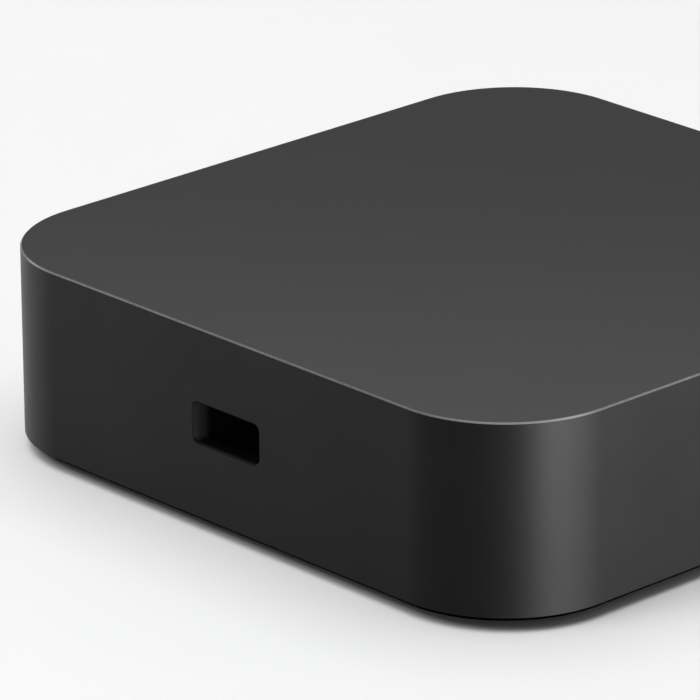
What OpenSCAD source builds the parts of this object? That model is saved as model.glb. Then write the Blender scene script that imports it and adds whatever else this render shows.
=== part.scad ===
// Streaming media player: a square aluminium puck with a security slot in its left side.
// Frame: +Z up, -Y is the front, origin on the surface that it stands on, under its centre.
// Every length is in millimetres.

/* [Body] */
// Width and depth of the square body
body_w = 58; // [56:0.5:64]
// Radius of the four upright corners
corner_r = 9.7; // [8:0.1:11]
// Height of the aluminium shell
shell_h = 15.2; // [15:0.1:17]
// Gap between the shell's lower edge and the surface that it stands on
foot_gap = 0.9; // [0.6:0.1:1.1]
// Thickness of the shell's walls and top
wall = 1.5; // [1.2:0.1:1.8]
// Bright cut chamfer round the top edge
top_chamfer = 0.12; // [0.08:0.02:0.3]
// Chamfer round the lower edge
low_chamfer = 0.3; // [0.1:0.05:0.5]

/* [Security slot] */
// Length of the slot
slot_w = 7.1; // [6.9:0.1:7.3]
// Height of the slot
slot_h = 3.1; // [2.9:0.1:3.3]
// Radius of the slot's corners
slot_r = 0.5; // [0.3:0.05:0.7]
// Height of the slot's centre above the middle of the shell
slot_rise = 0.15; // [0:0.05:0.5]

/* [Base] */
// Thickness of the base cover
base_t = 2; // [1.8:0.1:2.4]
// Width of the rubber foot ring's band
foot_band = 3.6; // [3.4:0.1:4.2]
// Distance from the body's centre to the middle of the foot ring's band
foot_half = 22.6; // [22:0.1:23]

/* [Circuit board] */
// Height of the board's upper face above the surface
board_z = 5.6; // [5.4:0.1:5.8]
// Thickness of the board
board_t = 1; // [0.8:0.1:1.2]

/* [Rear panel] */
// Sideways place of the video socket
video_x = -8; // [-9:0.5:-7]
// Sideways place of the power socket
power_x = 6.5; // [6:0.5:7]
// Sideways place of the pairing button
button_x = 15.5; // [15:0.5:16]
// Radius of the pairing button's cap
button_r = 1.5; // [1.2:0.1:1.6]
// Travel of the pairing button
button_travel = 0.4; // [0.2:0.1:0.5]

/* [Hidden] */
$fn = 48;

// Shell
half_w = body_w / 2;
shell_z = foot_gap;
top_z = shell_z + shell_h;
ceiling_z = top_z - wall;
inner_half = half_w - wall;
inner_r = corner_r - wall;
slot_z = shell_z + shell_h / 2 + slot_rise;
cut_over = 1;

// Base cover and its foot ring
base_recess = 0.3;
base_gap = 0.1;
base_z = shell_z + base_recess;
base_top = base_z + base_t;
base_half = inner_half - base_gap;
base_r = inner_r - base_gap;
lip_t = 1;
lip_h = 0.7;
groove_depth = 0.5;
foot_h = base_z + groove_depth;
foot_corner_r = 4.5;

// Screws: [shank radius, head radius, head height]
M2 = [1, 1.75, 0.8];
M1_6 = [0.8, 1.5, 0.8];
thread_gap = 0.02;
drive_r = 0.65;
drive_depth = 0.5;
corner_post = foot_half - foot_corner_r * (1 - sqrt(0.5));
post_r = 2.6;
post_screw_l = 6;
board_screw_at = [23, 12];
board_screw_l = 3;
standoff_r = 2;

// Circuit board
board_low = board_z - board_t;
board_half = inner_half - 1.4;
board_r = 7;
post_clear = 0.5;

// Shielded computing section, centred on the main chip
can_at = [2, -1];
can_size = [34, 22, 2];
can_t = 0.2;
soc_size = [14, 14, 1.2];
dram_size = [8, 10, 0.9];
flash_size = [7.5, 11, 1];
lid_z = board_z + can_size[2] + can_t;
block_pad_t = 0.9;
block_size = [24, 18];
block_z = lid_z + block_pad_t;
ceiling_pad_t = 0.5;
block_top = ceiling_z - ceiling_pad_t;
ear_reach = 15.2;
ear_t = 1.5;
ear_w = 7;
ear_drop = 2;
ear_top = ceiling_z - ear_drop;
ear_post_r = 2;
block_screw_l = 3.4;

// Radio
module_at = [11, -17.8];
module_size = [12, 10, 1.8];
module_carrier_t = 0.6;
antenna_size = [14, 5, 0.3];
antenna_x = 10.2;
antenna_y = -22;
lead_r = 0.4;
lead_bend_r = 0.46;
lead_plug_r = 1;
lead_plug_h = 0.9;
lead_right_x = 14;
lead_left_x = -8;
lead_plug_x = 7;
lead_plug_y = -21.5;
lead_front_y = -23.7;
lead_drop_y = -25.1;
lead_notch = [2.6, 2.2];
lead_run_z = board_z + module_carrier_t + lead_plug_h / 2;
lead_feed_z = base_top + antenna_size[2] + lead_r;

// Rear panel sockets
face_recess = 0.3;
socket_face_y = half_w - face_recess;
video_port_half_w = 7;
video_port_half_h = 2.3;
video_port_t = 0.4;
video_port_deep = 11.5;
video_port_z = board_z + video_port_half_h + video_port_t;
video_port_back = 3;
video_port_tongue = [11.6, 6.6, 1.9];
video_port_cut = [15.4, 6, 0.5];
power_port_inner = [8.34, 2.56];
power_port_t = 0.3;
power_port_deep = 7.4;
power_port_z = board_z + power_port_inner[1] / 2 + power_port_t;
power_port_back = 1.8;
power_port_tongue = [6.7, 4.6, 0.7];
power_port_gap = 0.28;

// Pairing button and its switch
button_z = board_z + 1.7;
button_gap = 0.1;
button_recess = 0.2;
button_flange = [2.2, 0.6];
stop_gap = 0.1;
switch_size = [4.4, 2.8, 3.4];
switch_face_y = 24.4;
plunger_r = 0.7;
plunger_gap = 0.05;
plunger_in = 0.6;
flange_y = inner_half - stop_gap;

// Status light
pipe_r = 0.6;
pipe_flange = [1.1, 0.6];
pipe_z = board_z + 0.8;
led_size = [1.6, 1, 1.4];
led_y = -24.9;

// Security slot's reinforcement
plate_size = [0.6, 17.4, 8.4];
plate_slot_gap = 0.2;
peg_y = 7;
peg_r = 0.7;
peg_l = 0.8;
pocket_size = [7, 10.4, 8.8];
pocket_t = 0.8;
pocket_clear = 0.5;

// ---------------------------------------------------------------- shared shapes

// Prism with four round upright corners, standing on z = 0.
module rounded_block(w, d, h, r) {
    translate([-w / 2 + r, -d / 2, 0]) cube([w - 2 * r, d, h]);
    translate([-w / 2, -d / 2 + r, 0]) cube([w, d - 2 * r, h]);
    for (x = [-1, 1], y = [-1, 1])
        translate([x * (w / 2 - r), y * (d / 2 - r), 0]) cylinder(h = h, r = r);
}

// Layer of height c whose sides lean in by c, standing on z = 0.
module chamfer_layer(w, r, c) {
    outline = [[-w / 2, 0], [w / 2, 0], [w / 2 - c, c], [-w / 2 + c, c]];
    for (turn = [0, 90])
        rotate([90, 0, turn])
            linear_extrude(w - 2 * r, center = true) polygon(outline);
    for (x = [-1, 1], y = [-1, 1])
        translate([x * (w / 2 - r), y * (w / 2 - r), 0])
            cylinder(h = c, r1 = r, r2 = r - c);
}

// Square block with round upright corners and chamfered lower and upper edges.
module chamfered_block(w, h, r, low, high) {
    translate([0, 0, low]) mirror([0, 0, 1]) chamfer_layer(w, r, low);
    translate([0, 0, low]) rounded_block(w, w, h - low - high, r);
    translate([0, 0, h - high]) chamfer_layer(w, r, high);
}

// Ring with round corners: half is the distance to the middle of its band.
module rounded_ring(half, band, h, r) {
    difference() {
        rounded_block(2 * half + band, 2 * half + band, h, r + band / 2);
        translate([0, 0, -cut_over])
            rounded_block(2 * half - band, 2 * half - band, h + 2 * cut_over, r - band / 2);
    }
}

// Turns a shape that stands on z = 0 so that it grows towards +Y from y = 0.
module towards_rear() {
    rotate([-90, 0, 0]) children();
}

// Turns a shape that stands on z = 0 so that it grows towards +X from x = 0.
module towards_right() {
    rotate([0, 90, 0]) children();
}

// Prism with fully round ends, standing on z = 0.
module stadium(w, d, h) {
    translate([-(w - d) / 2, -d / 2, 0]) cube([w - d, d, h]);
    for (x = [-1, 1]) translate([x * (w - d) / 2, 0, 0]) cylinder(h = h, r = d / 2);
}

// Screw standing on its head: head's outer face at z = 0, shank upwards.
module screw(size, shank_l) {
    difference() {
        cylinder(h = size[2], r = size[1]);
        translate([0, 0, -cut_over])
            cylinder(h = drive_depth + cut_over, r = drive_r, $fn = 6);
    }
    translate([0, 0, size[2]]) cylinder(h = shank_l, r = size[0]);
}

// Chip or other block that stands on the board's upper face.
module on_board(at, size) {
    translate([at[0] - size[0] / 2, at[1] - size[1] / 2, board_z]) cube(size);
}

// Round lead of straight runs with ball joints at its corners.
module lead(points) {
    for (i = [0 : len(points) - 2]) {
        step = points[i + 1] - points[i];
        run = norm(step);
        translate(points[i])
            rotate([0, acos(step[2] / run), atan2(step[1], step[0])])
                cylinder(h = run, r = lead_r);
    }
    for (i = [1 : len(points) - 2]) translate(points[i]) sphere(r = lead_bend_r);
}

module at_posts() {
    for (turn = [0 : 90 : 270])
        rotate([0, 0, turn]) translate([corner_post, corner_post, 0]) children();
}

module at_board_screws() {
    for (x = [-1, 1], y = [-1, 1])
        translate([x * board_screw_at[0], y * board_screw_at[1], 0]) children();
}

module at_ears() {
    for (x = [-1, 1])
        translate([can_at[0] + x * ear_reach, can_at[1], 0]) children();
}

// ---------------------------------------------------------------- casing

module shell_openings() {
    // Security slot through the left wall
    translate([-half_w - cut_over, 0, slot_z]) towards_right()
        rounded_block(slot_h, slot_w, wall + 2 * cut_over, slot_r);
    // Video socket
    translate([video_x, inner_half - cut_over, video_port_z]) towards_rear()
        rounded_block(video_port_cut[0], video_port_cut[1], wall + 2 * cut_over, video_port_cut[2]);
    // Power socket
    translate([power_x, inner_half - cut_over, power_port_z]) towards_rear()
        stadium(
            power_port_inner[0] + 2 * (power_port_t + power_port_gap),
            power_port_inner[1] + 2 * (power_port_t + power_port_gap),
            wall + 2 * cut_over
        );
    // Pairing button
    translate([button_x, inner_half - cut_over, button_z]) towards_rear()
        cylinder(h = wall + 2 * cut_over, r = button_r + button_gap);
    // Status light
    translate([0, -half_w - cut_over, pipe_z]) towards_rear()
        cylinder(h = wall + 2 * cut_over, r = pipe_r + thread_gap);
}

module top_shell() {
    color("#434445") difference() {
        union() {
            difference() {
                translate([0, 0, shell_z])
                    chamfered_block(body_w, shell_h, corner_r, low_chamfer, top_chamfer);
                translate([0, 0, shell_z - cut_over])
                    rounded_block(
                        2 * inner_half, 2 * inner_half,
                        ceiling_z - shell_z + cut_over, inner_r
                    );
            }
            at_posts()
                translate([0, 0, base_top]) cylinder(h = top_z - wall / 2 - base_top, r = post_r);
            at_ears()
                translate([0, 0, ear_top]) cylinder(h = ear_drop + wall / 2, r = ear_post_r);
            for (y = [-1, 1])
                translate([-half_w + wall / 2, y * peg_y, slot_z]) towards_right()
                    cylinder(h = wall / 2 + peg_l, r = peg_r);
        }
        shell_openings();
        at_posts()
            translate([0, 0, base_top - cut_over])
                cylinder(h = post_screw_l + cut_over, r = M2[0] + thread_gap);
        at_ears()
            translate([0, 0, ear_top - cut_over])
                cylinder(h = ear_drop + cut_over, r = M1_6[0] + thread_gap);
    }
}

module base_cover() {
    head_z = foot_h;
    color("#1d1d1e") difference() {
        union() {
            translate([0, 0, base_z])
                rounded_block(2 * base_half, 2 * base_half, base_t, base_r);
            translate([0, 0, base_top])
                rounded_ring(base_half - lip_t / 2, lip_t, lip_h, base_r - lip_t / 2);
            at_board_screws()
                translate([0, 0, base_top]) cylinder(h = board_low - base_top, r = standoff_r);
        }
        translate([0, 0, base_z - cut_over])
            rounded_ring(
                foot_half, foot_band + 2 * base_gap,
                groove_depth + cut_over, foot_corner_r
            );
        at_posts() {
            translate([0, 0, head_z - cut_over])
                cylinder(h = M2[2] + cut_over, r = M2[1] + base_gap);
            cylinder(h = base_top + cut_over, r = M2[0] + base_gap);
        }
        at_board_screws()
            translate([0, 0, board_low - board_screw_l + board_t])
                cylinder(h = board_screw_l, r = M1_6[0] + thread_gap);
    }
}

module foot_ring() {
    color("#161617") rounded_ring(foot_half, foot_band, foot_h, foot_corner_r);
}

module base_screws() {
    color("#8f9194") at_posts()
        translate([0, 0, foot_h]) screw(M2, post_screw_l);
}

// ---------------------------------------------------------------- board and its parts

module main_board() {
    notch_x = pocket_size[0] + pocket_clear;
    color("#1f4d33") difference() {
        translate([0, 0, board_low])
            rounded_block(2 * board_half, 2 * board_half, board_t, board_r);
        at_posts() {
            cylinder(h = board_z + cut_over, r = post_r + post_clear);
            cube([board_r, board_r, board_z + cut_over]);
        }
        at_board_screws() cylinder(h = board_z + cut_over, r = M1_6[0] + base_gap);
        // Notch round the lock pocket
        translate([
            -inner_half, -pocket_size[1] / 2 - pocket_clear, board_low - cut_over
        ])
            cube([
                plate_size[0] + notch_x,
                pocket_size[1] + 2 * pocket_clear, board_t + 2 * cut_over
            ]);
        // Notches for the two aerial leads
        for (x = [lead_left_x, lead_right_x])
            translate([
                x - lead_notch[0] / 2, -board_half - cut_over, board_low - cut_over
            ])
                cube([
                    lead_notch[0], lead_notch[1] + cut_over, board_t + 2 * cut_over
                ]);
    }
}

module board_screws() {
    color("#a8a9ab") at_board_screws()
        translate([0, 0, board_z + M1_6[2]]) mirror([0, 0, 1]) screw(M1_6, board_screw_l);
}

module soc_chip() {
    substrate_t = 0.5;
    mould_inset = 0.6;
    color("#2b2b2d") {
        on_board(can_at, [soc_size[0], soc_size[1], substrate_t]);
        translate([0, 0, substrate_t])
            on_board(can_at, [
                soc_size[0] - 2 * mould_inset, soc_size[1] - 2 * mould_inset,
                soc_size[2] - substrate_t
            ]);
    }
}

module memory_chips() {
    offset_x = -12.2;
    offset_y = 5.4;
    color("#242426") for (y = [-1, 1])
        on_board(can_at + [offset_x, y * offset_y], dram_size);
}

module flash_chip() {
    color("#242426") on_board(can_at + [12.2, 0], flash_size);
}

module shield_frame() {
    flange = 1.2;
    color("#b9bbbd") translate([can_at[0], can_at[1], board_z]) difference() {
        translate([-can_size[0] / 2, -can_size[1] / 2, 0]) cube(can_size);
        translate([-can_size[0] / 2 + can_t, -can_size[1] / 2 + can_t, -cut_over])
            cube([
                can_size[0] - 2 * can_t, can_size[1] - 2 * can_t,
                can_size[2] - can_t + cut_over
            ]);
        translate([-can_size[0] / 2 + flange, -can_size[1] / 2 + flange, 0])
            cube([
                can_size[0] - 2 * flange, can_size[1] - 2 * flange,
                can_size[2] + cut_over
            ]);
    }
}

module shield_lid() {
    skirt_h = 1.4;
    gap = 0.05;
    outer = [can_size[0] + 2 * (can_t + gap), can_size[1] + 2 * (can_t + gap)];
    color("#c9cacc") translate([can_at[0], can_at[1], lid_z]) mirror([0, 0, 1]) difference() {
        translate([-outer[0] / 2, -outer[1] / 2, 0]) cube([outer[0], outer[1], skirt_h]);
        translate([-outer[0] / 2 + can_t, -outer[1] / 2 + can_t, can_t])
            cube([outer[0] - 2 * can_t, outer[1] - 2 * can_t, skirt_h]);
    }
}

module soc_pad() {
    pad = 12;
    color("#8fb6c9") translate([
        can_at[0] - pad / 2, can_at[1] - pad / 2, board_z + soc_size[2]
    ])
        cube([pad, pad, can_size[2] - soc_size[2]]);
}

module block_pad() {
    color("#8fb6c9") translate([
        can_at[0] - block_size[0] / 2, can_at[1] - block_size[1] / 2, lid_z
    ])
        cube([block_size[0], block_size[1], block_pad_t]);
}

module heat_block() {
    ear_block = 2 * (ear_reach + ear_post_r);
    color("#b4b7ba") difference() {
        translate([can_at[0], can_at[1], 0]) {
            translate([-block_size[0] / 2, -block_size[1] / 2, block_z])
                cube([block_size[0], block_size[1], block_top - block_z]);
            translate([-ear_block / 2, -ear_w / 2, ear_top - ear_t])
                cube([ear_block, ear_w, ear_t]);
        }
        at_ears() cylinder(h = top_z, r = M1_6[0] + base_gap);
    }
}

module block_screws() {
    color("#a8a9ab") at_ears()
        translate([0, 0, ear_top - ear_t - M1_6[2]]) screw(M1_6, block_screw_l);
}

module ceiling_pad() {
    inset = 1;
    color("#8fb6c9") translate([
        can_at[0] - block_size[0] / 2 + inset, can_at[1] - block_size[1] / 2 + inset,
        block_top
    ])
        cube([block_size[0] - 2 * inset, block_size[1] - 2 * inset, ceiling_pad_t]);
}

module wifi_module() {
    lid_inset = 0.5;
    lid_back = 3;
    color("#b9bbbd") {
        on_board(module_at, [module_size[0], module_size[1], module_carrier_t]);
        translate([0, lid_back / 2, module_carrier_t])
            on_board(module_at, [
                module_size[0] - 2 * lid_inset, module_size[1] - lid_back - 2 * lid_inset,
                module_size[2] - module_carrier_t
            ]);
    }
}

module antenna(side) {
    slit = [9, 0.8];
    color("#c08a4a") translate([
        side * antenna_x - antenna_size[0] / 2, antenna_y - antenna_size[1] / 2, base_top
    ])
        difference() {
            cube(antenna_size);
            for (y = [1.3, 3.1])
                translate([side * y / 2 + 2.5, y, -cut_over])
                    cube([slit[0], slit[1], antenna_size[2] + 2 * cut_over]);
        }
}

// Lead's plug on the radio module's carrier.
module lead_plug(x) {
    translate([x, lead_plug_y, board_z + module_carrier_t])
        cylinder(h = lead_plug_h, r = lead_plug_r);
}

module aerial_lead_right() {
    color("#3a3a3c") {
        lead_plug(lead_right_x);
        lead([
            [lead_right_x, lead_plug_y, lead_run_z], [lead_right_x, lead_drop_y, lead_run_z],
            [lead_right_x, lead_drop_y, lead_feed_z], [lead_right_x, antenna_y, lead_feed_z]
        ]);
    }
}

module aerial_lead_left() {
    color("#3a3a3c") {
        lead_plug(lead_plug_x);
        lead([
            [lead_plug_x, lead_plug_y, lead_run_z], [lead_plug_x, lead_front_y, lead_run_z],
            [lead_left_x, lead_front_y, lead_run_z], [lead_left_x, lead_drop_y, lead_run_z],
            [lead_left_x, lead_drop_y, lead_feed_z], [lead_left_x, antenna_y, lead_feed_z]
        ]);
    }
}

module power_chip() {
    color("#242426") on_board([-12, -17.5], [5, 5, 0.9]);
}

module power_coils() {
    coil = [3, 3, 1.6];
    cap_r = 1.1;
    color("#6d6f72") for (i = [0 : 3])
        translate([-7 + 3.8 * (i % 3), -16 - 3.8 * floor(i / 3), 0]) {
            on_board([0, 0], coil);
            translate([0, 0, board_z + coil[2]]) cylinder(h = 0.15, r = cap_r);
        }
}

module power_capacitors() {
    can_r = 2;
    can_h = 4.6;
    foot = [4.2, 4.2, 0.6];
    color("#c4c6c9") for (x = [5, 10, 15]) {
        on_board([x, 15], foot);
        translate([x, 15, board_z + foot[2]]) cylinder(h = can_h, r = can_r);
    }
}

module clock_crystal() {
    color("#c9cacc") {
        on_board([-17.2, 13.5], [3.2, 2.5, 0.3]);
        translate([0, 0, 0.3]) on_board([-17.2, 13.5], [2.8, 2.1, 0.5]);
    }
}

module board_passives() {
    small = [1, 0.5, 0.5];
    large = [1.6, 0.8, 0.8];
    color("#a58f72") {
        for (i = [0 : 5]) on_board([-12.5 + 2 * i, 12.6], small);
        for (i = [0 : 4]) on_board([3 + 2.6 * i, 11.4], large);
        for (i = [0 : 4]) on_board([-17.6, -11 + 2 * i - 2 * floor(i / 2)], small);
        for (i = [0 : 3]) on_board([-14 + 2.4 * i, -13.4], large);
        for (i = [0 : 3]) on_board([21, -8 + 2.2 * i], small);
    }
}

// ---------------------------------------------------------------- rear panel sockets

// Outline of the video socket's cavity, grown by m on every side; up is +y.
function video_port_outline(m) = [
    [-video_port_half_w - m, video_port_half_h + m], [video_port_half_w + m, video_port_half_h + m],
    [video_port_half_w + m, -0.6 - 0.36 * m], [5.6 + 0.47 * m, -video_port_half_h - m],
    [-5.6 - 0.47 * m, -video_port_half_h - m], [-video_port_half_w - m, -0.6 - 0.36 * m]
];

// Prism of that outline from its front face at y = 0, deep towards -y.
module video_port_prism(m, deep) {
    rotate([90, 0, 0]) linear_extrude(deep) polygon(video_port_outline(m));
}

module video_port_shell() {
    tab = [1.2, 2, 0.9];
    color("#b7b9bc") translate([video_x, socket_face_y, video_port_z]) {
        difference() {
            video_port_prism(video_port_t, video_port_deep);
            translate([0, cut_over, 0]) video_port_prism(0, video_port_deep + 2 * cut_over);
        }
        for (side = [-1, 1], back = [3.5, 9])
            translate([
                side * (5.5 + tab[0]) - tab[0] / 2, -back - tab[1] / 2,
                -video_port_half_h - video_port_t
            ])
                cube(tab);
    }
}

module video_port_insulator() {
    color("#19191a") translate([video_x, socket_face_y, video_port_z]) {
        translate([0, -video_port_deep + video_port_back, 0]) video_port_prism(0, video_port_back);
        translate([
            -video_port_tongue[0] / 2, -video_port_deep + video_port_back, -video_port_tongue[2] / 2
        ])
            cube(video_port_tongue);
    }
}

module video_port_contacts() {
    pitch = 1;
    contact = [0.5, 6, 0.15];
    color("#c9a44c") translate([video_x, socket_face_y - video_port_deep + video_port_back, video_port_z])
        for (row = [-1, 1], i = [0 : (row > 0 ? 9 : 8)])
            translate([
                (i - (row > 0 ? 4.5 : 4)) * pitch - contact[0] / 2, 0,
                row > 0 ? video_port_tongue[2] / 2 : -video_port_tongue[2] / 2 - contact[2]
            ])
                cube(contact);
}

module power_port_shell() {
    tab = [0.8, 1.6, 0.3];
    outer = [power_port_inner[0] + 2 * power_port_t, power_port_inner[1] + 2 * power_port_t];
    color("#b7b9bc") translate([power_x, socket_face_y - power_port_deep, power_port_z]) {
        difference() {
            towards_rear() stadium(outer[0], outer[1], power_port_deep);
            translate([0, -cut_over, 0]) towards_rear()
                stadium(power_port_inner[0], power_port_inner[1], power_port_deep + 2 * cut_over);
        }
        for (side = [-1, 1])
            translate([side * 3.2 - tab[0] / 2, 2, -outer[1] / 2])
                difference() {
                    translate([side * 0.8, 0, 0]) cube([tab[0], tab[1], 0.5]);
                    translate([-side * 3.2 + tab[0] / 2, -cut_over, outer[1] / 2])
                        towards_rear()
                            stadium(power_port_inner[0], power_port_inner[1], tab[1] + 2 * cut_over);
                }
    }
}

module power_port_tongue() {
    color("#19191a") translate([power_x, socket_face_y - power_port_deep, power_port_z]) {
        towards_rear() stadium(power_port_inner[0], power_port_inner[1], power_port_back);
        translate([
            -power_port_tongue[0] / 2, power_port_back, -power_port_tongue[2] / 2
        ])
            cube(power_port_tongue);
    }
}

module power_port_contacts() {
    pitch = 0.5;
    contact = [0.26, 3.6, 0.08];
    color("#c9a44c") translate([power_x, socket_face_y - power_port_deep + power_port_back, power_port_z])
        for (i = [0 : 11], row = [-1, 1])
            translate([
                (i - 5.5) * pitch - contact[0] / 2, 0,
                row > 0 ? power_port_tongue[2] / 2 : -power_port_tongue[2] / 2 - contact[2]
            ])
                cube(contact);
}

// ---------------------------------------------------------------- pairing button

module pairing_button() {
    dish_r = 1.1;
    dish_depth = 0.15;
    cap_face_y = half_w - button_recess;
    color("#2a2a2b") translate([button_x, 0, button_z]) difference() {
        union() {
            translate([0, flange_y - button_flange[1], 0]) towards_rear()
                cylinder(h = cap_face_y - flange_y + button_flange[1], r = button_r);
            translate([0, flange_y - button_flange[1], 0]) towards_rear()
                cylinder(h = button_flange[1], r = button_flange[0]);
        }
        translate([0, cap_face_y - dish_depth, 0]) towards_rear()
            cylinder(h = dish_depth + cut_over, r = dish_r);
    }
}

module switch_plunger() {
    start_y = switch_face_y - plunger_in;
    color("#111111") translate([button_x, start_y, button_z]) towards_rear()
        cylinder(h = flange_y - button_flange[1] - start_y, r = plunger_r);
}

module switch_body() {
    bore_depth = plunger_in + button_travel + 0.4;
    color("#9a9c9f") difference() {
        translate([
            button_x - switch_size[0] / 2, switch_face_y - switch_size[1], board_z
        ])
            cube(switch_size);
        translate([button_x, switch_face_y - bore_depth, button_z]) towards_rear()
            cylinder(h = bore_depth + cut_over, r = plunger_r + plunger_gap);
    }
}

// ---------------------------------------------------------------- status light

module status_led() {
    color("#e9e6dc") on_board([0, led_y], led_size);
}

module light_pipe() {
    start_y = led_y - led_size[1] / 2;
    color("#dfe6e8") {
        translate([0, -half_w, pipe_z]) towards_rear()
            cylinder(h = half_w + start_y, r = pipe_r);
        translate([0, -inner_half, pipe_z]) towards_rear()
            cylinder(h = pipe_flange[1], r = pipe_flange[0]);
    }
}

// ---------------------------------------------------------------- security slot

module lock_plate() {
    color("#2d2e30") difference() {
        translate([-inner_half, -plate_size[1] / 2, slot_z - plate_size[2] / 2])
            cube(plate_size);
        translate([-inner_half - cut_over, 0, slot_z]) towards_right()
            rounded_block(
                slot_h + 2 * plate_slot_gap, slot_w + 2 * plate_slot_gap,
                plate_size[0] + 2 * cut_over, slot_r
            );
        for (y = [-1, 1])
            translate([-inner_half - cut_over, y * peg_y, slot_z]) towards_right()
                cylinder(h = plate_size[0] + 2 * cut_over, r = peg_r + thread_gap);
    }
}

module lock_pocket() {
    low = [
        -inner_half + plate_size[0], -pocket_size[1] / 2, slot_z - pocket_size[2] / 2
    ];
    color("#0e0e0f") difference() {
        translate(low) cube(pocket_size);
        translate(low + [-cut_over, pocket_t, pocket_t])
            cube([
                pocket_size[0] - pocket_t + cut_over,
                pocket_size[1] - 2 * pocket_t, pocket_size[2] - 2 * pocket_t
            ]);
    }
}

top_shell();
base_cover();
foot_ring();
base_screws();
main_board();
board_screws();
soc_chip();
memory_chips();
flash_chip();
shield_frame();
shield_lid();
soc_pad();
block_pad();
heat_block();
block_screws();
ceiling_pad();
wifi_module();
antenna(1);  // antenna_right
antenna(-1);  // antenna_left
aerial_lead_right();
aerial_lead_left();
power_chip();
power_coils();
power_capacitors();
clock_crystal();
board_passives();
video_port_shell();
video_port_insulator();
video_port_contacts();
power_port_shell();
power_port_tongue();
power_port_contacts();
pairing_button();
switch_plunger();
switch_body();
status_led();
light_pipe();
lock_plate();
lock_pocket();
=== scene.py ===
import math

import bmesh
import bpy
from mathutils import Matrix, Vector


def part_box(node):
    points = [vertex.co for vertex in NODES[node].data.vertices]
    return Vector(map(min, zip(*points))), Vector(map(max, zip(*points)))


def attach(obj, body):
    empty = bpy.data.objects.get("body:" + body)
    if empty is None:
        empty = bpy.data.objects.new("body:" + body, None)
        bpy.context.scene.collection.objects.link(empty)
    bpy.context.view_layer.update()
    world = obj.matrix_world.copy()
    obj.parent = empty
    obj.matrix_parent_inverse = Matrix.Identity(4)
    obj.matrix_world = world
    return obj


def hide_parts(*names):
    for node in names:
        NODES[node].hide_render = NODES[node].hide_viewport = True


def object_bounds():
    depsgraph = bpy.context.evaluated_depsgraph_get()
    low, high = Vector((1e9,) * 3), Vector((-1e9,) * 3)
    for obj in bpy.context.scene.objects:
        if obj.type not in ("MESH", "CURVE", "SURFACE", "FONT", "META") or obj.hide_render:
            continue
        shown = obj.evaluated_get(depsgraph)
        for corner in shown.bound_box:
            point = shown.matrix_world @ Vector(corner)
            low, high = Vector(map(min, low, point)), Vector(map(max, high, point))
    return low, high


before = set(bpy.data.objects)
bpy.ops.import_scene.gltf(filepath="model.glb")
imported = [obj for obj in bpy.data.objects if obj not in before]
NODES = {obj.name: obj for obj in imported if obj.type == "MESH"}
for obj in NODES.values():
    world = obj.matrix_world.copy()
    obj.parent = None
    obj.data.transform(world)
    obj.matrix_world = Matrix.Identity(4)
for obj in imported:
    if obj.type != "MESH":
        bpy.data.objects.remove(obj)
cad_low, cad_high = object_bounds()
MM = 0.001
scene = bpy.context.scene


# ------------------------------------------------------------------ camera

def make_camera():
    """Close, low three-quarter view of the corner between the slot side and the front.

    The angles, distance and aim were fitted to the outline of the real player, then rounded.
    """
    width = cad_high.x - cad_low.x
    corner = Vector((cad_low.x, cad_low.y, cad_high.z))
    elevation, azimuth, roll = (math.radians(a) for a in (20.85, -42.81, -0.445))
    back = Vector((
        math.sin(azimuth) * math.cos(elevation),
        -math.cos(azimuth) * math.cos(elevation),
        math.sin(elevation),
    ))
    level = Vector((math.cos(azimuth), math.sin(azimuth), 0.0))
    upright = back.cross(level)
    right = level * math.cos(roll) + upright * math.sin(roll)
    up = upright * math.cos(roll) - level * math.sin(roll)
    target = corner + (right * -0.1831 + up * 0.1130) * width
    place = target + back * (7.964 * width)
    data = bpy.data.cameras.new("camera")
    data.sensor_width = 36.0
    data.lens = 341.5
    data.clip_start = 0.01
    data.clip_end = 10.0
    cam = bpy.data.objects.new("camera", data)
    scene.collection.objects.link(cam)
    turn = Matrix((right, up, back)).transposed().to_4x4()
    cam.matrix_world = Matrix.Translation(place) @ turn
    scene.camera = cam


# ------------------------------------------------------------------ materials

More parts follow.
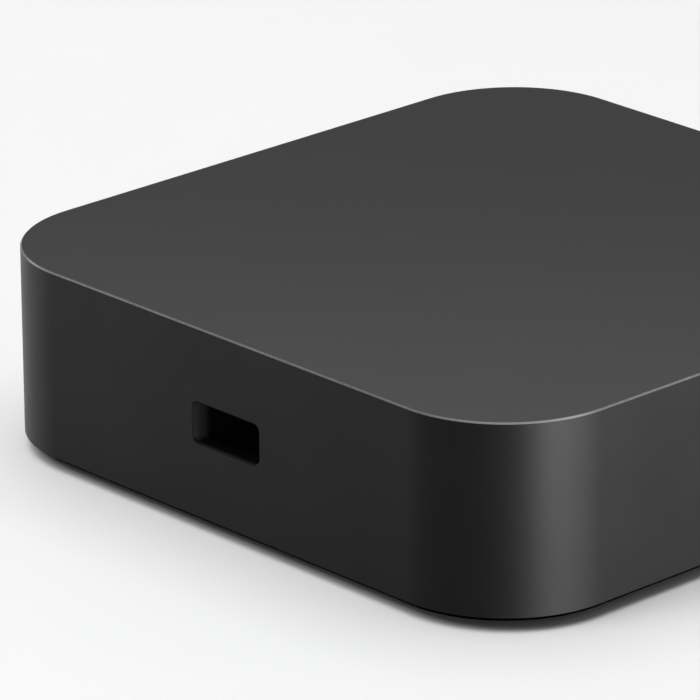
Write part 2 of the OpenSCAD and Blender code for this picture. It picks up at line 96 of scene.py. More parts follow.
class Maker:
    """Node-building shorthand for one Principled material."""

    def __init__(self, name):
        self.mat = bpy.data.materials.new(name)
        self.mat.use_nodes = True
        self.tree = self.mat.node_tree
        self.bsdf = self.tree.nodes["Principled BSDF"]
        self.place = self.node("ShaderNodeTexCoord").outputs["Object"]

    def node(self, kind, **settings):
        made = self.tree.nodes.new(kind)
        for key, value in settings.items():
            setattr(made, key, value)
        return made

    def link(self, a, b):
        self.tree.links.new(a, b)

    def set(self, **values):
        names = {
            "metallic": "Metallic", "ior": "IOR", "coat": "Coat Weight",
            "coat_rough": "Coat Roughness", "sheen": "Sheen Weight",
            "sheen_rough": "Sheen Roughness", "spec": "Specular IOR Level",
            "trans": "Transmission Weight",
        }
        for key, value in values.items():
            self.bsdf.inputs[names[key]].default_value = value

    def mapped(self, scale):
        m = self.node("ShaderNodeMapping")
        m.inputs["Scale"].default_value = scale
        self.link(self.place, m.inputs["Vector"])
        return m.outputs["Vector"]

    def noise(self, size, detail=3.0, rough=0.55, stretch=(1, 1, 1)):
        """Noise whose features are about size metres across."""
        n = self.node("ShaderNodeTexNoise")
        n.inputs["Scale"].default_value = 1.0 / size
        n.inputs["Detail"].default_value = detail
        n.inputs["Roughness"].default_value = rough
        self.link(self.mapped(stretch), n.inputs["Vector"])
        return n.outputs["Fac"]

    def spread(self, fac, low, high):
        """Maps the middle of a noise's range to low and high."""
        r = self.node("ShaderNodeMapRange")
        for key, value in (("From Min", 0.3), ("From Max", 0.7), ("To Min", low), ("To Max", high)):
            r.inputs[key].default_value = value
        self.link(fac, r.inputs["Value"])
        return r.outputs["Result"]

    def colour_between(self, fac, a, b, start=0.3, end=0.7):
        ramp = self.node("ShaderNodeValToRGB")
        ramp.color_ramp.elements[0].position = start
        ramp.color_ramp.elements[1].position = end
        ramp.color_ramp.elements[0].color = (*a, 1.0)
        ramp.color_ramp.elements[1].color = (*b, 1.0)
        self.link(fac, ramp.inputs["Fac"])
        self.link(ramp.outputs["Color"], self.bsdf.inputs["Base Color"])

    def roughness(self, fac, low, high):
        self.link(self.spread(fac, low, high), self.bsdf.inputs["Roughness"])

    def bumps(self, *layers):
        """Each layer is (height factor, depth in metres, strength)."""
        normal = None
        for fac, depth, strength in layers:
            b = self.node("ShaderNodeBump")
            b.inputs["Distance"].default_value = depth
            b.inputs["Strength"].default_value = strength
            self.link(fac, b.inputs["Height"])
            if normal is not None:
                self.link(normal, b.inputs["Normal"])
            normal = b.outputs["Normal"]
        self.link(normal, self.bsdf.inputs["Normal"])


def anodised(name="shell_anodised_blasted", rough=(0.385, 0.425), edge_tint=0.8):
    """Dark anodised aluminium with a fine bead-blasted grain.

    It is much darker than real anodised metal, to balance the strong strips of make_light: under
    softer light it wants a lighter base colour.
    """
    m = Maker(name)
    m.set(metallic=1.0)
    m.bsdf.inputs["Specular Tint"].default_value = (edge_tint, edge_tint, edge_tint, 1.0)
    cloud = m.noise(9 * MM, 2.0)
    grain = m.noise(0.10 * MM, 2.0, 0.6)
    dimple = m.node("ShaderNodeTexVoronoi", feature="SMOOTH_F1")
    dimple.inputs["Scale"].default_value = 1 / (0.16 * MM)
    m.link(m.place, dimple.inputs["Vector"])
    m.colour_between(cloud, (0.0115, 0.0115, 0.0118), (0.0130, 0.0130, 0.0133))
    m.roughness(grain, *rough)
    m.bumps((dimple.outputs["Distance"], 0.004 * MM, 0.25), (grain, 0.003 * MM, 0.25))
    return m.mat


def slot_cut():
    """Milled wall of the lock slot: rougher than the outside, with uneven milling marks, and its colour and
    reflection set far darker, a painted shade inside the slot.
    """
    m = Maker("shell_slot_painted_shade")
    m.set(metallic=0.2, spec=0.1)
    marks = m.noise(0.08 * MM, 2.0, 0.5, stretch=(0.1, 1, 1))
    m.colour_between(marks, (0.0055, 0.0055, 0.0056), (0.0075, 0.0075, 0.0077))
    m.roughness(marks, 0.42, 0.55)
    m.bumps((marks, 0.002 * MM, 0.3))
    return m.mat


def cut_edge():
    """Diamond-cut chamfer round the shell's top edge: bare, bright metal with fine tool marks."""
    m = Maker("shell_cut_chamfer")
    m.set(metallic=1.0)
    marks = m.noise(0.05 * MM, 2.0, 0.5, stretch=(1, 1, 0.12))
    m.colour_between(m.noise(3 * MM), (0.29, 0.29, 0.295), (0.34, 0.34, 0.345))
    m.roughness(marks, 0.24, 0.36)
    m.bumps((marks, 0.001 * MM, 0.3))
    return m.mat


def moulded(name, colour, rough=0.55, grain=0.12, depth=0.006, swing=0.15):
    """Moulded plastic with a spark-eroded grain."""
    m = Maker(name)
    low = tuple(c * (1 - swing) for c in colour)
    high = tuple(c * (1 + swing) for c in colour)
    m.colour_between(m.noise(4 * MM), low, high)
    fine = m.noise(grain * MM, 3.0, 0.6)
    m.roughness(fine, rough - 0.06, rough + 0.08)
    m.bumps((fine, depth * MM, 0.5))
    return m.mat


def rubber(name, colour):
    m = Maker(name)
    m.set(spec=0.35, sheen=0.25, sheen_rough=0.5)
    cloud = m.noise(2.5 * MM, 4.0)
    m.colour_between(cloud, tuple(c * 0.8 for c in colour), tuple(c * 1.35 for c in colour))
    fine = m.noise(0.2 * MM, 4.0, 0.65)
    m.roughness(fine, 0.72, 0.88)
    m.bumps((fine, 0.01 * MM, 0.5))
    return m.mat


def plated(name, colour, rough=0.28, along=(1, 1, 1), marks=0.06, swing=0.1):
    """Plated or drawn sheet metal, with marks that run along one direction when asked."""
    m = Maker(name)
    m.set(metallic=1.0)
    streak = m.noise(marks * MM, 3.0, 0.6, stretch=along)
    low = tuple(c * (1 - swing) for c in colour)
    m.colour_between(m.noise(1.5 * MM, 3.0), low, colour)
    m.roughness(streak, rough - 0.06, rough + 0.1)
    m.bumps((streak, 0.0015 * MM, 0.35))
    return m.mat


def board_mask():
    """Green solder mask over copper tracks, with bare pads' slight relief."""
    m = Maker("board_solder_mask")
    m.set(coat=0.4, coat_rough=0.2)
    track = m.node("ShaderNodeTexBrick")
    track.inputs["Scale"].default_value = 1 / (3.2 * MM)
    track.inputs["Mortar Size"].default_value = 0.045
    track.inputs["Color1"].default_value = (0.0, 0.0, 0.0, 1)
    track.inputs["Color2"].default_value = (0.06, 0.06, 0.06, 1)
    track.inputs["Mortar"].default_value = (1, 1, 1, 1)
    m.link(m.mapped((1, 1, 0.001)), track.inputs["Vector"])
    m.colour_between(track.outputs["Color"], (0.008, 0.060, 0.030), (0.014, 0.105, 0.052), 0.05, 0.9)
    m.roughness(m.noise(0.5 * MM), 0.3, 0.42)
    m.bumps((track.outputs["Color"], 0.02 * MM, 0.4))
    return m.mat


def copper_foil():
    m = Maker("antenna_copper_foil")
    m.set(metallic=1.0)
    m.colour_between(m.noise(1.2 * MM, 4.0), (0.50, 0.23, 0.11), (0.72, 0.36, 0.19))
    wrinkle = m.noise(0.6 * MM, 4.0)
    m.roughness(wrinkle, 0.25, 0.42)
    m.bumps((wrinkle, 0.01 * MM, 0.4))
    return m.mat


def chip_mould():
    m = Maker("chip_epoxy")
    speck = m.noise(0.12 * MM, 4.0, 0.7)
    m.colour_between(speck, (0.013, 0.013, 0.014), (0.028, 0.028, 0.030))
    m.roughness(speck, 0.5, 0.66)
    m.bumps((speck, 0.008 * MM, 0.6))
    return m.mat


def silicone_pad():
    m = Maker("thermal_pad_silicone")
    m.set(spec=0.3)
    weave = m.node("ShaderNodeTexWave", wave_type="BANDS", bands_direction="DIAGONAL")
    weave.inputs["Scale"].default_value = 1 / (1.1 * MM)
    weave.inputs["Distortion"].default_value = 0.6
    m.link(m.place, weave.inputs["Vector"])
    m.colour_between(weave.outputs["Fac"], (0.20, 0.36, 0.46), (0.27, 0.45, 0.55), 0.0, 1.0)
    m.roughness(m.noise(0.4 * MM), 0.62, 0.78)
    m.bumps((weave.outputs["Fac"], 0.02 * MM, 0.4))
    return m.mat


def ceramic_parts():
    m = Maker("passive_ceramic")
    m.colour_between(m.noise(1.3 * MM, 2.0), (0.30, 0.19, 0.10), (0.47, 0.35, 0.22), 0.42, 0.58)
    m.roughness(m.noise(0.15 * MM), 0.35, 0.5)
    m.bumps((m.noise(0.12 * MM), 0.004 * MM, 0.4))
    return m.mat


def frosted(name, colour, rough, trans):
    """Smoked, slightly clear resin."""
    m = Maker(name)
    m.set(trans=trans, ior=1.5, spec=0.1)
    m.colour_between(m.noise(0.8 * MM), tuple(c * 0.93 for c in colour), colour)
    fine = m.noise(0.1 * MM, 3.0)
    m.roughness(fine, rough - 0.05, rough + 0.08)
    m.bumps((fine, 0.003 * MM, 0.4))
    return m.mat


def paper():
    """Plain pale sweep that the player stands on."""
    m = Maker("floor_paper")
    m.set(spec=0.2)
    m.colour_between(m.noise(30 * MM, 3.0), (0.865, 0.868, 0.870), (0.880, 0.880, 0.880))
    m.roughness(m.noise(2 * MM), 0.8, 0.9)
    m.bumps((m.noise(0.4 * MM, 4.0), 0.004 * MM, 0.2))
    return m.mat


def dress(obj, *materials):
    obj.data.materials.clear()
    for mat in materials:
        obj.data.materials.append(mat)


# ------------------------------------------------------------------ mesh building

def link_mesh(name, bm, sharp=28.0):
    """Turns bm into an object, smooth but with sharp edges over the given angle."""
    bmesh.ops.recalc_face_normals(bm, faces=bm.faces)
    for f in bm.faces:
        f.smooth = True
    for e in bm.edges:
        if len(e.link_faces) == 2:
            e.smooth = e.calc_face_angle(0.0) < math.radians(sharp)
    mesh = bpy.data.meshes.new(name)
    bm.to_mesh(mesh)
    bm.free()
    obj = bpy.data.objects.new(name, mesh)
    scene.collection.objects.link(obj)
    return obj


def loft(bm, rings, closed=False):
    """Skins a list of equal rings of points; caps both ends unless closed."""
    made = [[bm.verts.new(p) for p in ring] for ring in rings]
    n = len(rings[0])
    pairs = list(zip(made, made[1:]))
    if closed:
        pairs.append((made[-1], made[0]))
    for a, b in pairs:
        for i in range(n):
            bm.faces.new((a[i], a[(i + 1) % n], b[(i + 1) % n], b[i]))
    if not closed:
        for ring in (made[0][::-1], made[-1]):
            bm.faces.new(ring)


def round_rect(half_u, half_v, r, steps=16, lead=0.0):
    """Points round a rectangle with round corners; lead adds a point just into each straight run."""
    points = []
    for k, (su, sv) in enumerate(((1, 1), (-1, 1), (-1, -1), (1, -1))):
        start = k * math.pi / 2
        cu, cv = su * (half_u - r), sv * (half_v - r)
        arc = []
        for i in range(steps + 1):
            a = start + math.pi / 2 * i / steps
            arc.append(Vector((cu + r * math.cos(a), cv + r * math.sin(a))))
        if lead:
            before = Vector((-math.sin(start), math.cos(start))) * -lead
            after = Vector((-math.sin(start + math.pi / 2), math.cos(start + math.pi / 2))) * lead
            arc = [arc[0] + before, *arc, arc[-1] + after]
        points += arc
    return points


def flat_ring(points, z):
    return [Vector((p.x, p.y, z)) for p in points]


def side_ring(points, axis, centre, depth):
    """Ring in a plane across axis: 'x' maps (u, v) to (y, z), 'y' maps it to (x, z)."""
    if axis == "x":
        return [Vector((depth, centre[0] + p.x, centre[1] + p.y)) for p in points]
    return [Vector((centre[0] + p.x, depth, centre[1] + p.y)) for p in points]


def circle_points(r, steps):
    turns = [math.tau * i / steps for i in range(steps)]
    return [Vector((r * math.cos(a), r * math.sin(a))) for a in turns]


def lathe(bm, profile, axis, centre, steps):
    """Surface of revolution from (radius, distance along the axis) pairs, with flat ends."""
    rings = []
    for r, along in profile:
        circle = circle_points(r, steps)
        if axis == "z":
            rings.append([Vector((centre[0] + p.x, centre[1] + p.y, along)) for p in circle])
        else:
            rings.append(side_ring(circle, axis, centre, along))
    loft(bm, rings)


def boolean(target, tool, how):
    mod = target.modifiers.new(how.lower(), "BOOLEAN")
    mod.operation = how
    mod.object = tool
    mod.solver = "EXACT"
    bpy.context.view_layer.update()
    graph = bpy.context.evaluated_depsgraph_get()
    made = bpy.data.meshes.new_from_object(target.evaluated_get(graph))
    target.modifiers.clear()
    old = target.data
    target.data = made
    bpy.data.meshes.remove(old)
    bpy.data.objects.remove(tool)


def resharpen(obj, sharp=28.0):
    """Marks sharp edges by angle after booleans and drops leftovers."""
    bm = bmesh.new()
    bm.from_mesh(obj.data)
    bmesh.ops.remove_doubles(bm, verts=bm.verts, dist=0.0005 * MM)
    bmesh.ops.dissolve_degenerate(bm, edges=bm.edges, dist=0.0005 * MM)
    for f in bm.faces:
        f.smooth = True
    for e in bm.edges:
        if len(e.link_faces) == 2:
            e.smooth = e.calc_face_angle(0.0) < math.radians(sharp)
    bm.to_mesh(obj.data)
    bm.free()


# ------------------------------------------------------------------ shell

WALL = 1.5 * MM
CORNER = 9.7 * MM
CHAMFER = 0.12 * MM
LOW_CHAMFER = 0.3 * MM
SLOT_HALF = (3.55 * MM, 1.55 * MM)
SLOT_CORNER = 0.5 * MM
# How far the mouths of the openings are broken
EDGE = 0.06 * MM
SLOT_EDGE = 0.14 * MM
PIPE_EDGE = 0.04 * MM
# Shank radius, head radius and head height in mm
M2 = (1.0, 1.75, 0.8)
M1_6 = (0.8, 1.5, 0.8)
SIGNS = [(x, y) for x in (-1, 1) for y in (-1, 1)]


def centre_of(node):
    low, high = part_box(node)
    return (low + high) / 2


def through_wall(bm, outline, axis, centre, outer, inner, edge=EDGE):
    """Cutter through a wall: outline(m) gives its rings grown by m, with both mouths edge-broken."""
    run = 1 if inner > outer else -1
    over = 0.4 * MM
    steps = (
        (outer - run * over, edge + over), (outer, edge), (outer + run * edge, 0.0),
        (inner - run * edge, 0.0), (inner, edge), (inner + run * over, edge + over),
    )
    loft(bm, [side_ring(outline(grow), axis, centre, depth) for depth, grow in steps])


def make_shell():
    low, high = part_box("top_shell")
    half = (high.x - low.x) / 2
    ceiling = high.z - WALL

    def ring(inset, z):
        return flat_ring(round_rect(half - inset, half - inset, CORNER - inset, 40, 0.25 * MM), z)

    bm = bmesh.new()
    loft(bm, [
        ring(CHAMFER, high.z), ring(0, high.z - CHAMFER), ring(0, low.z + LOW_CHAMFER),
        ring(LOW_CHAMFER, low.z), ring(WALL, low.z), ring(WALL, ceiling),
    ])
    shell = link_mesh("shell_body", bm)

    # Screw posts, ear posts and the lock plate's pegs
    posts = bmesh.new()
    screw_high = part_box("base_screws")[1]
    post = screw_high.x - M2[1] * MM
    post_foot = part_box("antenna_left")[0].z
    for x, y in SIGNS:
        lathe(posts, [(2.6 * MM, post_foot), (2.6 * MM, ceiling + WALL / 2)], "z", (x * post, y * post), 40)
    ear_low, ear_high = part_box("block_screws")
    ear_y = (ear_low.y + ear_high.y) / 2
    ears = (ear_low.x + M1_6[1] * MM, ear_high.x - M1_6[1] * MM)
    for x in ears:
        lathe(posts, [(2.0 * MM, ceiling - 2.0 * MM), (2.0 * MM, ceiling + WALL / 2)], "z", (x, ear_y), 40)
    slot_z = centre_of("lock_plate").z
    for y in (-7, 7):
        lathe(posts, [(0.7 * MM, low.x + WALL / 2), (0.7 * MM, low.x + WALL + 0.8 * MM)],
              "x", (y * MM, slot_z), 32)
    boolean(shell, link_mesh("posts", posts), "UNION")

    # Openings and screw holes
    cuts = bmesh.new()
    through_wall(
        cuts, lambda m: round_rect(SLOT_HALF[0] + m, SLOT_HALF[1] + m, SLOT_CORNER + m, 12),
        "x", (0.0, slot_z), low.x, low.x + WALL, SLOT_EDGE,
    )
    video = centre_of("video_port_contacts")
    through_wall(
        cuts, lambda m: round_rect(7.7 * MM + m, 3.0 * MM + m, 0.5 * MM + m, 10),
        "y", (video.x, video.z), high.y, high.y - WALL,
    )
    power = centre_of("power_port_contacts")
    through_wall(
        cuts, lambda m: round_rect(4.75 * MM + m, 1.86 * MM + m, 1.8599 * MM + m, 20),
        "y", (power.x, power.z), high.y, high.y - WALL,
    )
    button = centre_of("pairing_button")
    through_wall(
        cuts, lambda m: circle_points(1.6 * MM + m, 48),
        "y", (button.x, button.z), high.y, high.y - WALL,
    )
    pipe = centre_of("light_pipe")
    through_wall(
        cuts, lambda m: circle_points(0.62 * MM + m, 36),
        "y", (pipe.x, pipe.z), low.y, low.y + WALL, PIPE_EDGE,
    )
    for x, y in SIGNS:
        lathe(cuts, [(1.02 * MM, low.z - 1 * MM), (1.02 * MM, screw_high.z + 0.7 * MM)],
              "z", (x * post, y * post), 32)
    for x in ears:
        lathe(cuts, [(0.82 * MM, ceiling - 3 * MM), (0.82 * MM, ceiling - 0.02 * MM)], "z", (x, ear_y), 32)
    boolean(shell, link_mesh("cuts", cuts), "DIFFERENCE")
    resharpen(shell)
    dress(shell, anodised(), cut_edge(), anodised("shell_lower_chamfer_painted_shade", (0.14, 0.20), 0.1), slot_cut())
    for f in shell.data.polygons:
        at_top = high.z - CHAMFER * 0.9 < f.center.z < high.z - CHAMFER * 0.1
        at_foot = f.center.z < low.z + LOW_CHAMFER * 0.95
        off_y, off_z = abs(f.center.y) - SLOT_HALF[0], abs(f.center.z - slot_z) - SLOT_HALF[1]
        in_slot = f.center.x < low.x + WALL and max(off_y, off_z) < 0.15 * MM
        f.material_index = 0
        if at_top and 0.3 < f.normal.z < 0.95:
            f.material_index = 1
        # The lower chamfer gets a copy of the shell metal with its edge tint cut to 0.1, a painted shade that
        # darkens it into a dark line under the shell.
        elif at_foot:
            f.material_index = 2
        # The slot's side walls get the darkened slot material: painted shade inside the slot.
        elif in_slot and abs(f.normal.x) < 0.3:
            f.material_index = 3
    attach(shell, "housing")
    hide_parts("top_shell")


# ------------------------------------------------------------------ pieces that refine CAD nodes


def stands_for(obj, node, body="housing"):
    """Lets obj stand for a CAD node, in that node's material and finish."""
    dress(obj, NODES[node].data.materials[0])
    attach(obj, body)
    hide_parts(node)


def band(bm, middle, corner, section, steps=20):
    """Ring round a rounded square; section is (offset from the middle, height) pairs."""
    rings = []
    for off, z in section:
        path = round_rect(middle + off, middle + off, corner + off, steps, 0.2 * MM)
        rings.append(flat_ring(path, z))
    loft(bm, rings, closed=True)


def block(bm, low, high, edge=0.0):
    """Box between two corners, with its edges along Z and its upper rim broken by edge."""
    centre = ((low[0] + high[0]) / 2, (low[1] + high[1]) / 2)
    half = ((high[0] - low[0]) / 2, (high[1] - low[1]) / 2)

    def ring(inset, z):
        path = round_rect(half[0] - inset, half[1] - inset, max(edge - inset, 0.01 * MM), 3)
        return [Vector((centre[0] + p.x, centre[1] + p.y, z)) for p in path]

    loft(bm, [ring(0, low[2]), ring(0, high[2] - edge), ring(edge * 0.9, high[2])])


FOOT_MIDDLE = 22.6 * MM
FOOT_BAND = 3.6 * MM
FOOT_CORNER = 4.5 * MM
POST = FOOT_MIDDLE - FOOT_CORNER * (1 - math.sqrt(0.5))
BOARD_SCREWS = (23 * MM, 12 * MM)


def make_base():
    """Moulded base cover with broken edges, its foot groove, screw seats and standoffs."""
    low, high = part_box("base_cover")
    foot_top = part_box("foot_ring")[1].z
    top = low.z + 2.0 * MM
    lip = top + 0.7 * MM

    def ring(inset, z):
        return flat_ring(round_rect(high.x - inset, high.x - inset, 8.1 * MM - inset, 32, 0.2 * MM), z)

    tray = bmesh.new()
    loft(tray, [
        ring(0.25 * MM, low.z), ring(0.07 * MM, low.z + 0.08 * MM), ring(0, low.z + 0.25 * MM),
        ring(0, lip - 0.1 * MM), ring(0.1 * MM, lip), ring(0.9 * MM, lip),
        ring(1.0 * MM, lip - 0.1 * MM), ring(1.0 * MM, top),
    ])
    base = link_mesh("base_tray", tray)
    standoffs = bmesh.new()
    cuts = bmesh.new()
    side, wide, slim = FOOT_BAND / 2 + 0.1 * MM, 0.16 * MM, 0.1 * MM
    band(cuts, FOOT_MIDDLE, FOOT_CORNER, [
        (-side - wide, low.z - 1 * MM), (side + wide, low.z - 1 * MM), (side + slim, low.z),
        (side, low.z + slim), (side, foot_top), (-side, foot_top), (-side, low.z + slim),
        (-side - slim, low.z),
    ])
    for x, y in SIGNS:
        post = (x * POST, y * POST)
        lathe(cuts, [(1.85 * MM, foot_top - 0.2 * MM), (1.85 * MM, foot_top + 0.8 * MM)], "z", post, 32)
        lathe(cuts, [(1.1 * MM, foot_top), (1.1 * MM, lip + 1 * MM)], "z", post, 32)
        at = (x * BOARD_SCREWS[0], y * BOARD_SCREWS[1])
        lathe(standoffs, [
            (2.4 * MM, top - 0.2 * MM), (2.4 * MM, top), (2.12 * MM, top + 0.1 * MM),
            (2.0 * MM, top + 0.4 * MM), (2.0 * MM, high.z - 0.1 * MM), (1.9 * MM, high.z),
        ], "z", at, 32)
        lathe(cuts, [(0.82 * MM, high.z - 2 * MM), (0.82 * MM, high.z + 1 * MM)], "z", at, 24)
    boolean(base, link_mesh("standoffs", standoffs), "UNION")
    boolean(base, link_mesh("base_cuts", cuts), "DIFFERENCE")
    resharpen(base)
    stands_for(base, "base_cover")


def make_foot():
    """Rubber ring with a rounded tread and a shallow channel round its underside."""
    low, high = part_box("foot_ring")
    side, r = FOOT_BAND / 2, 0.45 * MM
    tread = [(0.35, 0.0), (1.3, 0.0)]
    tread += [(1.35 + 0.45 * math.sin(a), 0.45 - 0.45 * math.cos(a)) for a in (0.3, 0.7, 1.1, 1.5)]
    section = [(-x * MM, low.z + z * MM) for x, z in reversed(tread)]
    section += [(-0.22 * MM, low.z + 0.14 * MM), (0.22 * MM, low.z + 0.14 * MM)]
    section += [(x * MM, low.z + z * MM) for x, z in tread]
    section += [(side, high.z - 0.1 * MM), (side - 0.1 * MM, high.z)]
    section += [(-side + 0.1 * MM, high.z), (-side, high.z - 0.1 * MM)]
    ring = bmesh.new()
    band(ring, FOOT_MIDDLE, FOOT_CORNER, section)
    stands_for(link_mesh("foot_tread_ring", ring), "foot_ring")


def make_screws(name, node, places, head_z, up, size, length):
    """Set of small screws: rounded heads, hexagonal drives and grooved shanks."""
    shank, head, head_h = (v * MM for v in size)
    bodies, drives = bmesh.new(), bmesh.new()
    pitch = 0.4 * MM
    for at in places:
        profile = [
            (head - 0.22 * MM, 0.0), (head - 0.06 * MM, 0.06 * MM), (head, 0.2 * MM),
            (head, head_h), (shank, head_h),
        ]
        for i in range(1, int(length * MM / pitch)):
            start = head_h + i * pitch
            groove = ((1.0, -0.06), (0.84, 0.1), (1.0, 0.26))
            profile += [(shank * part, start + z * MM) for part, z in groove]
        profile = [(r, z) for r, z in profile if z < head_h + length * MM - 0.3 * MM]
        profile += [(shank, head_h + length * MM - 0.25 * MM), (shank - 0.25 * MM, head_h + length * MM)]
        lathe(bodies, [(r, head_z + up * z) for r, z in profile], "z", at, 32)
        flats = [(0.72 * MM, -0.3 * MM), (0.65 * MM, 0.05 * MM), (0.65 * MM, 0.45 * MM), (0.5 * MM, 0.5 * MM)]
        lathe(drives, [(r, head_z + up * z) for r, z in flats], "z", at, 6)
    screws = link_mesh(name, bodies)
    boolean(screws, link_mesh(name + "_drives", drives), "DIFFERENCE")
    resharpen(screws)
    stands_for(screws, node)


def make_all_screws():
    corners = [(x * POST, y * POST) for x, y in SIGNS]
    make_screws("base_screw_set", "base_screws", corners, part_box("base_screws")[0].z, 1, M2, 6)
    spots = [(x * BOARD_SCREWS[0], y * BOARD_SCREWS[1]) for x, y in SIGNS]
    make_screws("board_screw_set", "board_screws", spots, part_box("board_screws")[1].z, -1, M1_6, 3)
    low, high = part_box("block_screws")
    ears = [(x, (low.y + high.y) / 2) for x in (low.x + M1_6[1] * MM, high.x - M1_6[1] * MM)]
    make_screws("block_screw_set", "block_screws", ears, low.z, 1, M1_6, 3.4)


def filleted(points, r, steps=5):
    """Convex outline with its corners rounded off over about r."""
    made = []
    for i, p in enumerate(points):
        a, b = points[i - 1], points[(i + 1) % len(points)]
        start = p + (a - p).normalized() * r
        end = p + (b - p).normalized() * r
        for k in range(steps + 1):
            t = k / steps
            made.append(start * (1 - t) ** 2 + p * (2 * t * (1 - t)) + end * t ** 2)
    return made


def video_outline(m, r):
    """The video socket's cavity outline in mm, grown by m on every side."""
    points = [
        (-7 - m, 2.3 + m), (7 + m, 2.3 + m), (7 + m, -0.6 - 0.36 * m),
        (5.6 + 0.47 * m, -2.3 - m), (-5.6 - 0.47 * m, -2.3 - m), (-7 - m, -0.6 - 0.36 * m),
    ]
    return filleted([Vector((x * MM, z * MM)) for x, z in points], r * MM)


def stadium(w, h):
    return round_rect(w * MM / 2, h * MM / 2, h * MM / 2 - 0.001 * MM, 14)


def sheet_tube(bm, outline, centre, back, front):
    """Drawn sheet tube along Y: outline(m) is its cavity grown by m mm; the mouth is lead-in flared."""
    wall = 0.4 if outline is video_tube else 0.3
    steps = (
        (wall, back), (wall, front - 0.10 * MM), (wall - 0.05, front - 0.03 * MM), (wall - 0.12, front),
        (0.13, front), (0.06, front - 0.04 * MM), (0.0, front - 0.22 * MM), (0.0, back),
    )
    loft(bm, [side_ring(outline(m), "y", centre, depth) for m, depth in steps], closed=True)


def video_tube(m):
    return video_outline(m, 0.3 + m)


def power_tube(m):
    return stadium(8.34 + 2 * m, 2.56 + 2 * m)


def leaf_spring(bm, x, path, width, thick):
    """Bent strip in the YZ plane at x; path is (y, z) pairs."""
    rings = []
    for i, (y, z) in enumerate(path):
        w = width / 2 * (0.8 if i == len(path) - 1 else 1.0)
        rings.append([
            Vector((x + sx * w, y, z + sz * thick / 2)) for sx, sz in ((-1, -1), (1, -1), (1, 1), (-1, 1))
        ])
    loft(bm, rings)


def make_video_port():
    low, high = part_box("video_port_shell")
    centre = ((low.x + high.x) / 2, (low.z + high.z) / 2)
    can = bmesh.new()
    sheet_tube(can, video_tube, centre, low.y, high.y)
    can = link_mesh("video_can", can)
    tabs, cuts, springs = bmesh.new(), bmesh.new(), bmesh.new()
    for side in (-1, 1):
        for back in (3.5, 9):
            x, y = centre[0] + side * 6.7 * MM, high.y - back * MM
            block(tabs, (x - 0.6 * MM, y - 1 * MM, low.z), (x + 0.6 * MM, y + 1 * MM, low.z + 0.9 * MM))
    for x, wall in ((-3.4, 1), (3.4, 1), (-2.8, -1), (2.8, -1)):
        skin = centre[1] + wall * 2.5 * MM
        middle = high.y - 4.6 * MM
        path = round_rect(1.25 * MM, 2.4 * MM, 0.4 * MM, 4)
        rings = []
        for z in (skin - 0.5 * MM, skin + 0.5 * MM):
            rings.append([Vector((centre[0] + x * MM + p.x, middle + p.y, z)) for p in path])
        loft(cuts, rings)
        leaf = [(-2.6, 0.0), (-1.4, -0.12), (0.0, -0.38), (0.9, -0.46), (1.5, -0.34), (2.0, -0.08)]
        leaf_spring(springs, centre[0] + x * MM, [(middle + y * MM, skin + wall * z * MM) for y, z in leaf],
                    1.7 * MM, 0.22 * MM)
    boolean(can, link_mesh("video_tabs", tabs), "UNION")
    boolean(can, link_mesh("video_windows", cuts), "DIFFERENCE")
    boolean(can, link_mesh("video_springs", springs), "UNION")
    resharpen(can)
    stands_for(can, "video_port_shell")

    back = bmesh.new()
    loft(back, [side_ring(video_outline(-0.02, 0.3), "y", centre, y) for y in (low.y, low.y + 3 * MM)])
    body = link_mesh("video_moulding", back)
    tongue = bmesh.new()
    steps = ((5.8, 0.95, 2.5), (5.8, 0.95, 9.3), (5.72, 0.82, 9.5), (5.55, 0.66, 9.6))
    loft(tongue, [
        side_ring(round_rect(w * MM, h * MM, 0.14 * MM, 3), "y", centre, low.y + y * MM) for w, h, y in steps
    ])
    boolean(body, link_mesh("video_tongue", tongue), "UNION")
    resharpen(body)
    stands_for(body, "video_port_insulator")


def make_power_port():
    low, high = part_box("power_port_shell")
    centre = ((low.x + high.x) / 2, (low.z + high.z) / 2)
    can = bmesh.new()
    sheet_tube(can, power_tube, centre, low.y, high.y)
    can = link_mesh("power_can", can)
    feet = bmesh.new()
    for side in (-1, 1):
        x = centre[0] + side * 4.0 * MM
        block(feet, (x - 0.4 * MM, low.y + 2 * MM, low.z), (x + 0.4 * MM, low.y + 3.6 * MM, low.z + 0.5 * MM))
    boolean(can, link_mesh("power_feet", feet), "UNION")
    resharpen(can)
    stands_for(can, "power_port_shell")

    back = bmesh.new()
    loft(back, [side_ring(stadium(8.30, 2.52), "y", centre, y) for y in (low.y, low.y + 1.8 * MM)])
    body = link_mesh("power_moulding", back)
    tongue = bmesh.new()
    steps = ((3.35, 0.35, 1.5), (3.35, 0.35, 6.15), (3.28, 0.28, 6.32), (3.15, 0.2, 6.4))
    loft(tongue, [
        side_ring(round_rect(w * MM, h * MM, 0.1 * MM, 3), "y", centre, low.y + y * MM) for w, h, y in steps
    ])
    boolean(body, link_mesh("power_tongue", tongue), "UNION")
    resharpen(body)
    stands_for(body, "power_port_tongue")


